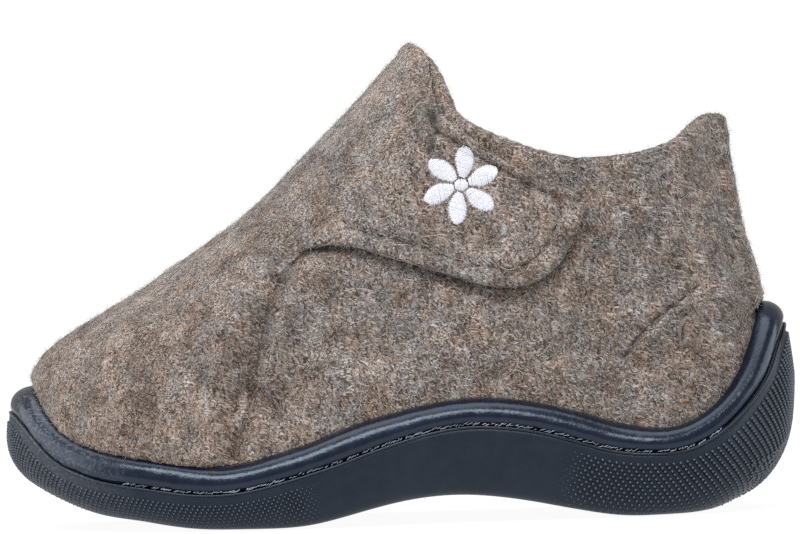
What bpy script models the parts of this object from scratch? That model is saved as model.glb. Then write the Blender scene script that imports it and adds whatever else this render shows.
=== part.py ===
"""A child's wool felt slipper for the left foot, with a moulded rubber cup sole.

The toe points along -X, the outer side faces -Y and the floor is z = 0.
Sizes are drawn in millimetres and become metres when a mesh is made.
"""

import math

import bmesh
import bpy
import numpy as np

MM = 0.001

# Driving sizes
FELT_THICKNESS = 2.2
STRIP_THICKNESS = 1.8
INSOLE_THICKNESS = 3.0
GAP = 0.3                   # between pieces that meet
OVERLAY_GAP = 0.60          # between the felt layers, whose facets differ
OVERLAY_REACH = 2.4         # how far the outside of an overlay stands out from the bootie
WELT_REACH_SIDE = 5.2       # how far the sole stands out from the felt, beside the foot
WELT_REACH_END = 6.4        # and at toe and heel
RIM_LEAN_SIDE = 0.3         # how far the sole's rim leans in from its widest line
RIM_LEAN_TOE = 0.6
RIM_LEAN_HEEL = 1.9
EDGE_ROUND_SIDE = 3.2       # rounding of the sole's bottom edge
EDGE_ROUND_TOE = 8.6
EDGE_ROUND_HEEL = 16.0
TOE_ROUND_OUTER = 46.0      # length over which the toe's plan outline rounds off
TOE_ROUND_INNER = 34.0
TOE_ROUND_INSTEP = 27.0
HEEL_ROUND_LOW = 23.0
HEEL_ROUND_HIGH = 21.0
LAST_LOW = 16.0             # heights between which the plan changes from foot to ankle
LAST_HIGH = 70.0
BEAD_FULLNESS = 0.8         # under 1 makes the welt's roll fuller than a quarter of an ellipse
STRIP_TURN = 0.30           # how far round the heel the strip reaches on each side, in radians of a station
STRIP_TOP = 79.9
TAB_RISE = 0.1              # how far the facing of the tab stands above the bootie's edge

# Mesh resolution
SIDE_STEPS = 36
UPPER_ROWS = 16
ROW_CROWDING = 1.35         # over 1 puts more rows low down, where the toe turns
STRIP_STEPS = 8
BEAD_STEPS = 6
EDGE_STEPS = 4
CUP_STEPS = 4

OUTER, INNER = -1, 1        # the foot's two sides, as the sign of y


class Table:
    """Rows of a form. A smooth curve runs through each column, against the first column."""

    def __init__(self, columns, rows):
        self.columns = dict(zip(columns, np.array(rows, float).T))
        self.key = self.columns[columns[0]]

    def at(self, name, where):
        key, value = self.key, self.columns[name]
        slope = np.gradient(value, key)
        where = np.clip(where, key[0], key[-1])
        i = np.clip(np.searchsorted(key, where) - 1, 0, len(key) - 2)
        step = key[i + 1] - key[i]
        t = (where - key[i]) / step
        from_start = (1 + 2 * t) * (1 - t) ** 2 * value[i] + t * (1 - t) ** 2 * step * slope[i]
        from_end = t * t * (3 - 2 * t) * value[i + 1] - t * t * (1 - t) * step * slope[i + 1]
        return from_start + from_end


# The felt bootie from the side: where its toe or instep ridge and its heel line stand at each height.
PROFILE = Table(
    ("height", "front", "back"),
    [
        (4.0, -66.0, 64.5),
        (12.0, -71.2, 70.2),
        (20.0, -73.4, 73.2),
        (25.0, -73.6, 73.8),
        (29.0, -72.8, 73.9),
        (33.5, -69.8, 73.6),
        (37.6, -64.2, 73.0),
        (42.3, -56.4, 72.1),
        (46.9, -48.4, 70.8),
        (53.8, -37.5, 68.8),
        (60.9, -27.9, 67.4),
        (68.1, -19.9, 66.5),
        (75.3, -12.4, 65.8),
        (82.3, -5.2, 65.4),
        (89.4, 1.5, 65.2),
        (97.0, 8.0, 65.1),
    ],
)

# The felt bootie from above: its axis, and half widths from the axis at foot and ankle level.
PLAN = Table(
    ("along", "axis", "outer", "inner", "ankle"),
    [
        (-76.0, 4.0, 26.5, 25.0, 20.0),
        (-50.0, 2.4, 28.0, 26.0, 21.0),
        (-25.0, 0.8, 28.5, 25.5, 21.5),
        (0.0, 0.0, 26.0, 22.5, 21.5),
        (25.0, 0.0, 23.5, 21.0, 20.8),
        (50.0, 0.0, 22.0, 21.5, 20.0),
        (76.0, 0.0, 21.5, 21.5, 19.5),
    ],
)

# The collar's edge from the side, from the top of the instep tab to the top of the heel.
COLLAR = Table(
    ("along", "height"),
    [
        (0.0, 95.0),
        (5.0, 94.8),
        (7.5, 93.4),
        (10.0, 90.2),
        (12.0, 85.4),
        (14.0, 80.6),
        (17.0, 78.5),
        (23.0, 76.1),
        (29.0, 73.7),
        (35.3, 72.1),
        (41.7, 71.6),
        (48.1, 71.9),
        (54.6, 73.6),
        (59.5, 76.2),
        (63.0, 78.9),
        (67.0, 80.2),
        (75.0, 80.2),
    ],
)

# The sole along the foot: its underside, and the floor of its cup.
SOLE = Table(
    ("along", "under", "cup"),
    [
        (-80.0, 15.0, 17.0),
        (-74.0, 11.0, 13.8),
        (-68.0, 7.2, 10.8),
        (-61.0, 4.2, 8.2),
        (-55.0, 2.6, 6.8),
        (-48.0, 1.2, 5.6),
        (-42.0, 0.3, 4.9),
        (-37.0, 0.0, 4.6),
        (-22.0, 0.0, 4.8),
        (-17.0, 0.6, 5.5),
        (-11.0, 2.0, 6.4),
        (-5.0, 3.5, 7.6),
        (1.0, 4.7, 8.6),
        (10.0, 5.4, 9.6),
        (20.0, 4.5, 9.9),
        (33.0, 1.9, 9.3),
        (39.0, 0.7, 8.9),
        (44.0, 0.0, 8.7),
        (57.0, 0.0, 8.7),
        (61.0, 0.5, 8.9),
        (66.0, 2.2, 9.6),
        (71.0, 4.7, 11.0),
        (80.0, 11.0, 15.0),
    ],
)

# The flat places that the sole stands on: under() is exactly zero between these.
FLAT_SPOTS = ((-37.0, -22.0), (44.0, 57.0))

# The sole's rim, which the welt stands on, at its outer edge.
RIM = Table(
    ("along", "height"),
    [
        (-80.0, 24.4),
        (-77.0, 22.2),
        (-74.0, 18.4),
        (-70.0, 14.6),
        (-65.0, 12.2),
        (-57.6, 10.0),
        (-48.7, 8.2),
        (-38.0, 7.1),
        (-32.6, 7.4),
        (-24.0, 9.2),
        (-13.3, 12.2),
        (-2.2, 15.9),
        (8.0, 18.4),
        (14.0, 19.0),
        (21.5, 18.4),
        (27.5, 17.4),
        (34.0, 15.5),
        (41.0, 13.4),
        (50.0, 12.4),
        (55.0, 12.6),
        (60.0, 14.2),
        (66.0, 17.9),
        (70.0, 22.0),
        (73.0, 26.6),
        (76.0, 33.6),
        (78.0, 38.0),
    ],
)

# The line where the welt's top meets the felt.
WELT_TOP = Table(
    ("along", "height"),
    [
        (-75.5, 29.6),
        (-73.0, 26.2),
        (-70.9, 22.8),
        (-68.0, 19.9),
        (-64.0, 17.6),
        (-57.0, 15.5),
        (-46.9, 13.8),
        (-38.0, 12.6),
        (-33.0, 12.9),
        (-27.2, 14.2),
        (-18.6, 16.5),
        (-9.4, 19.8),
        (1.6, 22.7),
        (10.0, 24.2),
        (15.5, 24.5),
        (24.0, 23.7),
        (34.4, 21.3),
        (44.8, 18.2),
        (52.0, 17.4),
        (57.3, 18.4),
        (61.0, 20.4),
        (64.6, 23.2),
        (67.4, 26.9),
        (70.0, 31.4),
        (72.4, 38.2),
        (74.8, 42.6),
    ],
)

# The strap's edge on the outer side, from the tab's top round the strap's end and down the seam to the welt.
OUTER_EDGE = Table(
    ("order", "along", "height"),
    [
        (0, 6.4, 104.0),
        (1, 7.2, 93.4),
        (2, 8.6, 86.0),
        (3, 9.6, 81.6),
        (4, 12.4, 78.0),
        (5, 21.5, 71.8),
        (6, 32.6, 65.6),
        (7, 37.4, 63.1),
        (8, 37.4, 60.8),
        (9, 34.8, 54.4),
        (10, 31.2, 49.4),
        (11, 26.0, 46.9),
        (12, 17.0, 47.3),
        (13, 3.3, 52.0),
        (14, -10.5, 56.4),
        (15, -19.0, 55.9),
        (16, -23.2, 52.8),
        (17, -24.8, 46.6),
        (18, -27.0, 35.4),
        (19, -30.4, 25.4),
        (20, -32.6, 12.0),
        (21, -34.0, -20.0),
    ],
)

# The plain seam on the inner side, from the tab's top to the welt.
INNER_EDGE = Table(
    ("order", "along", "height"),
    [
        (0, 6.4, 104.0),
        (1, 7.2, 93.4),
        (2, 8.2, 86.0),
        (3, 6.0, 76.0),
        (4, -4.0, 64.0),
        (5, -16.0, 52.0),
        (6, -24.0, 38.0),
        (7, -29.0, 25.0),
        (8, -31.0, 12.0),
        (9, -32.0, -20.0),
    ],
)
EDGE_SAMPLES = 3            # points on each stretch of an edge
CUP_SEARCH = (3.0, 30.0)    # lowest and highest that the cup's floor and the collar can be
COLLAR_SEARCH = (40.0, 98.0)
OUTSIDE = 120.0             # well past the slipper, for the cutters' far corners
CUTTER_OVERLAP = 1.0        # how far the two sides' cutters pass the middle

COLOURS = {                 # linear base colour and roughness of each piece
    "upper": ((0.20, 0.16, 0.13), 0.95),
    "vamp_strap": ((0.21, 0.17, 0.14), 0.95),
    "heel_strip": ((0.21, 0.17, 0.13), 0.95),
    "insole": ((0.16, 0.13, 0.11), 0.95),
    "outsole": ((0.020, 0.025, 0.034), 0.55),
    "welt": ((0.022, 0.028, 0.038), 0.30),
}


def mix(low, high, share):
    return low + (high - low) * share


def smooth_step(value, low, high):
    t = np.clip((value - low) / (high - low), 0, 1)
    return t * t * (3 - 2 * t)


def quarter_round(depth, length):
    """Half-width share at a depth from the tip of a rounded end."""
    return np.sqrt(1 - (1 - np.clip(depth / length, 0, 1)) ** 2)


# Stations round the foot, as angles: 0 at the heel, pi at the toe, going there by the outer side.
ROUND_FOOT = np.arange(2 * SIDE_STEPS) * math.pi / SIDE_STEPS
ROUND_HEEL = np.linspace(-STRIP_TURN, STRIP_TURN, STRIP_STEPS + 1)
SMALL_TURN = 0.01           # step for finding directions


def bootie(height, turn=ROUND_FOOT):
    """Points of the felt bootie's outside, one for each station, at each station's height."""
    front, back = PROFILE.at("front", height), PROFILE.at("back", height)
    x = mix(back, front, (1 - np.cos(turn)) / 2)
    side = np.where(np.sin(turn) > 0, OUTER, INNER)
    ankle = smooth_step(height, LAST_LOW, LAST_HIGH)
    foot_half = np.where(side == OUTER, PLAN.at("outer", x), PLAN.at("inner", x))
    half = mix(foot_half, PLAN.at("ankle", x), ankle)
    foot_toe = np.where(side == OUTER, TOE_ROUND_OUTER, TOE_ROUND_INNER)
    toe = quarter_round(x - front, mix(foot_toe, TOE_ROUND_INSTEP, ankle))
    heel = quarter_round(back - x, mix(HEEL_ROUND_LOW, HEEL_ROUND_HIGH, ankle))
    y = PLAN.at("axis", x) + side * half * toe * heel
    return np.stack([x, y, np.broadcast_to(height, x.shape)], axis=-1)


def height_on(line, low, high):
    """Each station's height where the bootie meets a line that gives a height along the foot."""
    low, high = np.full(len(ROUND_FOOT), low, float), np.full(len(ROUND_FOOT), high, float)
    for _ in range(40):
        middle = (low + high) / 2
        above = middle > line(bootie(middle)[:, 0])
        low, high = np.where(above, low, middle), np.where(above, middle, high)
    return (low + high) / 2


def way_out(height, turn=ROUND_FOOT):
    """Level directions out of the bootie at each station."""
    along = bootie(height, turn + SMALL_TURN) - bootie(height, turn - SMALL_TURN)
    normal = np.stack([-along[:, 1], along[:, 0], np.zeros(len(turn))], axis=-1)
    return normal / np.linalg.norm(normal, axis=1, keepdims=True)


def felt_grid(bottom, top, grow, turn=ROUND_FOOT):
    """Rows of points on the bootie from a bottom to a top height, grown outwards by a distance."""
    def row(share, shift=0.0):
        return bootie(mix(bottom, top, share), turn + shift)

    rows = []
    for share in np.linspace(0, 1, UPPER_ROWS + 1) ** ROW_CROWDING:
        around = row(share, SMALL_TURN) - row(share, -SMALL_TURN)
        normal = np.cross(row(share + SMALL_TURN) - row(share - SMALL_TURN), around)
        rows.append(row(share) + grow * normal / np.linalg.norm(normal, axis=1, keepdims=True))
    return np.array(rows)


def material(name):
    colour, roughness = COLOURS[name]
    made = bpy.data.materials.new(name)
    made.use_nodes = True
    shader = made.node_tree.nodes["Principled BSDF"]
    shader.inputs["Base Color"].default_value = (*colour, 1)
    shader.inputs["Roughness"].default_value = roughness
    shader.inputs["Metallic"].default_value = 0
    return made


def new_object(name, bm):
    """A named object from a bmesh that is drawn in millimetres."""
    bmesh.ops.scale(bm, vec=(MM, MM, MM), verts=bm.verts)
    mesh = bpy.data.meshes.new(name)
    bm.to_mesh(mesh)
    bm.free()
    made = bpy.data.objects.new(name, mesh)
    bpy.context.scene.collection.objects.link(made)
    return made


def finish_piece(piece):
    piece.data.materials.append(material(piece.name))
    piece.data.shade_smooth()
    piece.data.set_sharp_from_angle(angle=math.radians(40))
    return piece


def add_loops(bm, loops):
    return [[bm.verts.new(point) for point in loop] for loop in loops]


def bridge(bm, lower, upper, closed=True):
    """Faces between two rows of the same length, which are closed loops or open strips."""
    count = len(lower)
    for i in range(count if closed else count - 1):
        j = (i + 1) % count
        bm.faces.new((lower[i], lower[j], upper[j], upper[i]))


def close_across(bm, loop):
    """Faces across a loop, from each outer station to the inner station at the same reach."""
    count = len(loop)
    for i in range(SIDE_STEPS):
        corners = [loop[i], loop[i + 1], loop[(count - i - 1) % count], loop[(count - i) % count]]
        corners = [c for k, c in enumerate(corners) if c not in corners[:k]]
        bm.faces.new(corners)


def solid_from_loops(name, loops):
    """A closed solid: loops bridged one to the next, with the first and last closed across."""
    bm = bmesh.new()
    made = add_loops(bm, loops)
    for lower, upper in zip(made, made[1:]):
        bridge(bm, lower, upper)
    close_across(bm, made[0])
    close_across(bm, made[-1])
    bmesh.ops.recalc_face_normals(bm, faces=bm.faces)
    return finish_piece(new_object(name, bm))


def ring_from_loops(name, loops):
    """A closed ring: loops bridged one to the next, and the last back to the first."""
    bm = bmesh.new()
    made = add_loops(bm, loops)
    for lower, upper in zip(made, made[1:] + made[:1]):
        bridge(bm, lower, upper)
    bmesh.ops.recalc_face_normals(bm, faces=bm.faces)
    return finish_piece(new_object(name, bm))


def felt_shell(name, grid, thickness, offset, closed=True):
    """A felt wall on a grid of rows. Offset -1 thickens it inwards, and 1 outwards."""
    bm = bmesh.new()
    made = add_loops(bm, grid)
    for lower, upper in zip(made, made[1:]):
        bridge(bm, upper, lower, closed)
    shell = new_object(name, bm)
    wall = shell.modifiers.new("felt wall", "SOLIDIFY")
    wall.thickness = thickness * MM
    wall.offset = offset
    wall.use_even_offset = True
    return shell


def prism(name, outline, from_y, to_y):
    """A hidden cutter: an outline of points along the foot and up, drawn from one y to another."""
    bm = bmesh.new()
    face = bm.faces.new([bm.verts.new((x, from_y, z)) for x, z in outline])
    far = bmesh.ops.extrude_face_region(bm, geom=[face])
    moved = [v for v in far["geom"] if isinstance(v, bmesh.types.BMVert)]
    bmesh.ops.translate(bm, verts=moved, vec=(0, to_y - from_y, 0))
    bmesh.ops.recalc_face_normals(bm, faces=bm.faces)
    cutter = new_object(name, bm)
    cutter.hide_render = True
    cutter.display_type = "WIRE"
    return cutter


def cut_away(piece, cutter):
    boolean = piece.modifiers.new(cutter.name, "BOOLEAN")
    boolean.operation = "DIFFERENCE"
    boolean.object = cutter


def edge_points(edge):
    order = np.linspace(0, edge.key[-1], EDGE_SAMPLES * (len(edge.key) - 1) + 1)
    return list(zip(edge.at("along", order), edge.at("height", order)))


def make_upper():
    bottom = height_on(lambda x: SOLE.at("cup", x) + GAP, *CUP_SEARCH)
    top = height_on(lambda x: COLLAR.at("height", x), *COLLAR_SEARCH)
    return finish_piece(felt_shell("upper", felt_grid(bottom, top, 0), FELT_THICKNESS, -1))


def welt_top(turn=ROUND_FOOT):
    """Each station's height where the welt meets the outside of the felt."""
    height = np.full(len(turn), 20.0)
    for _ in range(30):
        x = bootie(height, turn)[:, 0] + OVERLAY_REACH * way_out(height, turn)[:, 0]
        height = mix(height, WELT_TOP.at("height", x), 0.5)
    return height


def make_vamp_strap():
    """The vamp, tab and strap in one piece of felt, cut from a larger form round the bootie."""
    top = height_on(lambda x: COLLAR.at("height", x) + TAB_RISE, *COLLAR_SEARCH)
    piece = felt_shell("vamp_strap", felt_grid(welt_top() + GAP, top, OVERLAY_GAP), FELT_THICKNESS, 1)
    for name, edge, side in (("outer", OUTER_EDGE, OUTER), ("inner", INNER_EDGE, INNER)):
        outline = [*edge_points(edge), (OUTSIDE, -OUTSIDE), (OUTSIDE, OUTSIDE)]
        cut_away(piece, prism(f"cut_{name}", outline, -side * CUTTER_OVERLAP, side * OUTSIDE))
    return finish_piece(piece)


def make_heel_strip():
    """The strip that covers the back seam, from the welt to the collar."""
    top = np.full(len(ROUND_HEEL), STRIP_TOP)
    grid = felt_grid(welt_top(ROUND_HEEL) + GAP, top, OVERLAY_GAP, ROUND_HEEL)
    return finish_piece(felt_shell("heel_strip", grid, STRIP_THICKNESS, 1, closed=False))


def sole_sections():
    """What the sole and the welt share at each station: the way out, the reach, and the rim."""
    rim = np.full(len(ROUND_FOOT), 20.0)
    for _ in range(30):
        felt = bootie(rim)
        out = way_out(rim)
        end = out[:, 0] ** 2
        heel = out[:, 0] > 0
        reach = mix(WELT_REACH_SIDE, WELT_REACH_END, end)
        rim_reach = reach - mix(RIM_LEAN_SIDE, np.where(heel, RIM_LEAN_HEEL, RIM_LEAN_TOE), end)
        rim = mix(rim, RIM.at("height", felt[:, 0] + rim_reach * out[:, 0]), 0.5)
    edge_round = mix(EDGE_ROUND_SIDE, np.where(heel, EDGE_ROUND_HEEL, EDGE_ROUND_TOE), end)
    return out, reach, rim_reach, rim, edge_round


def outwards(height, out, distance):
    """The bootie's loop at a height, moved out from the felt."""
    return bootie(height) + out * np.broadcast_to(distance, height.shape)[:, None]


def make_outsole():
    out, reach, rim_reach, rim, edge_round = sole_sections()
    plan = outwards(rim, out, 0)

    def loop(distance, height):
        points = plan + out * distance[:, None]
        points[:, 2] = height
        return points

    flat_edge = loop(reach - edge_round, rim)
    under = SOLE.at("under", flat_edge[:, 0])
    for start, end in FLAT_SPOTS:
        under = np.where((flat_edge[:, 0] > start) & (flat_edge[:, 0] < end), 0, under)
    loops = []
    for k in range(EDGE_STEPS + 1):
        angle = math.pi / 2 * k / EDGE_STEPS
        distance = reach - edge_round * (1 - math.sin(angle))
        loops.append(loop(distance, under + edge_round * (1 - math.cos(angle))))
    side_top = (under + edge_round + rim) / 2
    loops.append(loop(mix(reach, rim_reach, 0.3), side_top))
    loops.append(loop(rim_reach, rim))
    floor = height_on(lambda x: SOLE.at("cup", x), *CUP_SEARCH)
    for share in np.linspace(0, 1, CUP_STEPS + 1):
        loops.append(outwards(mix(rim, floor, share), out, GAP))
    return solid_from_loops("outsole", loops)


def make_welt():
    """The rolled welt that stands on the sole's rim, round the felt."""
    out, _, rim_reach, rim, _ = sole_sections()
    top = welt_top()
    foot = rim + GAP
    loops = [outwards(foot, out, GAP), outwards(mix(foot, top, 0.5), out, GAP)]
    for k in range(BEAD_STEPS + 1):
        angle = math.pi / 2 * k / BEAD_STEPS
        share_out = math.sin(angle) ** BEAD_FULLNESS
        share_up = math.cos(angle) ** BEAD_FULLNESS
        points = mix(outwards(top, out, GAP), outwards(foot, out, rim_reach), share_out)
        points[:, 2] = mix(foot, top, share_up)
        loops.append(points)
    return ring_from_loops("welt", loops)


def make_insole():
    floor = height_on(lambda x: SOLE.at("cup", x), *CUP_SEARCH)
    felt = bootie(floor)
    inset = FELT_THICKNESS + 2 * GAP
    lower = felt - way_out(floor) * inset
    lower[:, 2] = SOLE.at("cup", lower[:, 0]) + GAP
    upper = lower + np.array([0, 0, INSOLE_THICKNESS])
    return solid_from_loops("insole", [lower, upper])


def centre_on_origin(pieces):
    """Moves the slipper so that its box is centred over the origin, with the floor at zero."""
    graph = bpy.context.evaluated_depsgraph_get()
    corners = np.array([c for p in pieces for c in p.evaluated_get(graph).bound_box])
    middle = (corners.min(axis=0) + corners.max(axis=0)) / 2
    stand = bpy.data.objects.new("slipper", None)
    bpy.context.scene.collection.objects.link(stand)
    for thing in [o for o in bpy.context.scene.objects if o.type == "MESH"]:
        thing.parent = stand
    stand.location = (-middle[0], -middle[1], 0)


def main():
    for thing in list(bpy.data.objects):
        bpy.data.objects.remove(thing)
    pieces = [make_outsole(), make_welt(), make_upper(), make_vamp_strap(), make_heel_strip(), make_insole()]
    centre_on_origin(pieces)


main()
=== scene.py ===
import itertools
import math

import bmesh
import bpy
import numpy as np
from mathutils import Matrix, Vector
from mathutils.bvhtree import BVHTree


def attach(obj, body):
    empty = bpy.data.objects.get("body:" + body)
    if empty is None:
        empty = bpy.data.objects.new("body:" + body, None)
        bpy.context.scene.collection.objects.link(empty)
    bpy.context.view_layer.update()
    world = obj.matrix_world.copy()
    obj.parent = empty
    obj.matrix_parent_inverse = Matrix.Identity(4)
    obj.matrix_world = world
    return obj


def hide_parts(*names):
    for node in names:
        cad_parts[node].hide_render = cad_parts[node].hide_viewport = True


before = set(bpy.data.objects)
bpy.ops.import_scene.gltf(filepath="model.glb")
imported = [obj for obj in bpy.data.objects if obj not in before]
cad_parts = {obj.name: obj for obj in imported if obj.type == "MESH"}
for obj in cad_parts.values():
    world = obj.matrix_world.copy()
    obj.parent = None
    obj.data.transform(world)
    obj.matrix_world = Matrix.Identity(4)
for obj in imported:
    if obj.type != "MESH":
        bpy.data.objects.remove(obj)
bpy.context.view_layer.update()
mm = 0.001
upward = np.array([0, 0, 1.0])
chance = np.random.default_rng(11)  # every random draw below comes from here

# Shared tools. Places are in millimetres: x along the foot with the toe at -x, the outer side at -y.


def pick(piece):
    bpy.ops.object.select_all(action="DESELECT")
    piece.select_set(True)
    bpy.context.view_layer.objects.active = piece


def addObject(name, data):
    made = bpy.data.objects.new(name, data)
    bpy.context.scene.collection.objects.link(made)
    return made


def editAll(piece, operator, **settings):  # one operator on the whole mesh, in edit mode
    pick(piece)
    bpy.ops.object.mode_set(mode="EDIT")
    bpy.ops.mesh.select_all(action="SELECT")
    operator(**settings)
    bpy.ops.object.mode_set(mode="OBJECT")


def copyOf(node, name):
    piece = addObject(name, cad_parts[node].data.copy())
    piece.data.materials.clear()
    pick(piece)
    bpy.ops.mesh.customdata_custom_splitnormals_clear()
    editAll(piece, bpy.ops.mesh.remove_doubles, threshold=0.002 * mm)
    return piece


def addModifier(piece, kind, **settings):
    made = piece.modifiers.new(kind.lower(), kind)
    for name, value in settings.items():
        setattr(made, name, value)
    return made


def applyModifier(piece, made):
    pick(piece)
    bpy.ops.object.modifier_apply(modifier=made.name)


def numbersOf(items, name, width):
    found = np.empty(len(items) * width, np.float32)
    items.foreach_get(name, found)
    return found.reshape(-1, width).astype(float)


def placesOf(mesh):
    return numbersOf(mesh.vertices, "co", 3) / mm


def normalsOf(mesh):
    return numbersOf(mesh.vertex_normals, "vector", 3)


def moveTo(mesh, places):
    mesh.vertices.foreach_set("co", (places * mm).astype(np.float32).ravel())
    mesh.update()


def trianglesOf(mesh):
    mesh.calc_loop_triangles()
    found = np.empty(len(mesh.loop_triangles) * 3, np.int32)
    mesh.loop_triangles.foreach_get("vertices", found)
    return found.reshape(-1, 3)


def meshFromArrays(name, places, triangles):
    mesh = bpy.data.meshes.new(name)
    mesh.vertices.add(len(places))
    mesh.loops.add(triangles.size)
    mesh.polygons.add(len(triangles))
    mesh.vertices.foreach_set("co", (places * mm).astype(np.float32).ravel())
    mesh.loops.foreach_set("vertex_index", triangles.astype(np.int32).ravel())
    mesh.polygons.foreach_set("loop_start", np.arange(0, triangles.size, 3, dtype=np.int32))
    mesh.update(calc_edges=True)
    mesh.validate()
    mesh.shade_smooth()
    return addObject(name, mesh)


def joined(parts):  # several (places, triangles) as one pair of arrays
    starts = np.cumsum([0] + [len(places) for places, _ in parts])
    triangles = [faces + start for (_, faces), start in zip(parts, starts)]
    return np.concatenate([places for places, _ in parts]), np.concatenate(triangles)


def surfaceOf(*pieces):
    places, triangles = joined([(placesOf(p.data), trianglesOf(p.data)) for p in pieces])
    return BVHTree.FromPolygons(places.tolist(), triangles.tolist())


def unit(vectors):
    return vectors / np.maximum(np.linalg.norm(vectors, axis=-1, keepdims=True), 1e-9)


def ease(value, low, high):
    t = np.clip((value - low) / (high - low), 0, 1)
    return t * t * (3 - 2 * t)


def within(value, rise, fall):  # climbs to 1 over the first range and drops to 0 over the second
    return ease(value, *rise) * (1 - ease(value, *fall))


def ridge(distance, width):
    return np.exp(-((distance / width) ** 2))


def lumps(places, size, seed):  # smooth random values from -1 to 1 on a lattice of that size
    scaled = places / size + seed * 7.31
    cell = np.floor(scaled).astype(np.int64)
    share = ease(scaled - cell, 0, 1)
    total = np.zeros(len(places))
    for corner in itertools.product((0, 1), repeat=3):  # large odd numbers scramble each corner's place
        x, y, z = (cell + corner).T
        mixed = (x * 73856093) ^ (y * 19349663) ^ (z * 83492791) ^ (seed * 2654435)
        mixed = (mixed ^ (mixed >> 13)) * 1274126177 & 0xFFFFFFFF
        value = ((mixed ^ (mixed >> 16)) & 0xFFFF) / 32767.5 - 1
        total += value * np.prod(np.where(corner, share, 1 - share), axis=1)
    return total


def patches(places, layers):  # lumps in layers, each with its strength, size and seed
    return sum(strength * lumps(places, size, seed) for strength, size, seed in layers)


def reachOf(line):  # how far along a line each of its points lies
    return np.concatenate([[0], np.cumsum(np.linalg.norm(np.diff(line, axis=0), axis=1))])


def sampled(at, reach, values):  # values that go with a line's points, read at places along it
    return np.stack([np.interp(at, reach, column) for column in values.T], axis=1)


def curveThrough(points, step=0.4, closed=False):  # a smooth line through given points
    points = np.array(points, float)
    if closed:
        points = np.concatenate([points[-2:], points, points[:3]])
    reach = reachOf(points)
    slope = np.gradient(points, reach, axis=0)
    start, end = (reach[2], reach[-3]) if closed else (0, reach[-1])
    count = max(int((end - start) / step), 2)
    at = np.linspace(start, end, count + (not closed), endpoint=not closed)
    i = np.clip(np.searchsorted(reach, at, side="right") - 1, 0, len(points) - 2)
    gap = (reach[i + 1] - reach[i])[:, None]
    t = (at - reach[i])[:, None] / gap
    fromStart = (1 + 2 * t) * (1 - t) ** 2 * points[i] + t * (1 - t) ** 2 * gap * slope[i]
    fromEnd = t * t * (3 - 2 * t) * points[i + 1] - t * t * (1 - t) * gap * slope[i + 1]
    return fromStart + fromEnd


def distanceTo(line, points, batch=2000):  # from points to a line, and the number of its nearest point
    nearest, which = [], []
    for part in np.array_split(points, len(points) // batch + 1):
        gaps = np.linalg.norm(part[:, None] - line[None], axis=2)
        which.append(gaps.argmin(axis=1))
        nearest.append(gaps.min(axis=1))
    return np.concatenate(nearest), np.concatenate(which)


def alongOf(line):  # directions along a closed line
    return unit(np.roll(line, -1, axis=0) - np.roll(line, 1, axis=0))


def wayOut(line):  # level directions out of a closed line
    along = alongOf(line)
    out = unit(np.stack([along[:, 1], -along[:, 0], np.zeros(len(line))], axis=1))
    outward = ((line - line.mean(axis=0)) * out).sum() > 0
    return out if outward else -out


def spokes(first, second, sides):  # directions round a ring, in the plane of the two given
    turn = np.arange(sides) * 2 * math.pi / sides
    return first[..., None, :] * np.cos(turn)[:, None] + second[..., None, :] * np.sin(turn)[:, None]


def repeated(faces, copies, points):  # the same triangles on each copy of a shape with that many points
    triangles = np.array(faces)[None] + np.arange(copies)[:, None, None] * points
    return triangles.reshape(-1, 3)


def tubes(paths, radii, lift, sides):  # closed tubes with pointed ends, one for each path
    count, steps = paths.shape[:2]
    along = unit(np.gradient(paths, axis=1))[:, 1:-1]
    across = unit(np.cross(along, lift[:, None]))
    spoke = spokes(across, np.cross(along, across), sides)
    radii = np.broadcast_to(radii, (count, steps - 2))
    rings = (paths[:, 1:-1, None] + spoke * radii[:, :, None, None]).reshape(count, -1, 3)
    places = np.concatenate([paths[:, :1], rings, paths[:, -1:]], axis=1)
    last = sides * (steps - 2) + 1
    faces = []
    for i in range(sides):
        j = (i + 1) % sides
        faces += [(0, 1 + j, 1 + i), (last, last - sides + i, last - sides + j)]
        for low in range(1, last - sides, sides):
            high = low + sides
            faces += [(low + i, low + j, high + j), (low + i, high + j, high + i)]
    return places.reshape(-1, 3), repeated(faces, count, places.shape[1])


def finishPiece(piece, material, node=None):
    piece.data.materials.clear()
    piece.data.materials.append(material)
    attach(piece, "root")
    if node:
        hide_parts(node)
    return piece


# Materials


def tone(*shown):  # a colour as a screen shows it, 0 to 255, made linear for the shader
    return tuple(((c / 255 + 0.055) / 1.055) ** 2.4 if c > 10 else c / 3294 for c in shown) + (1,)


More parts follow.
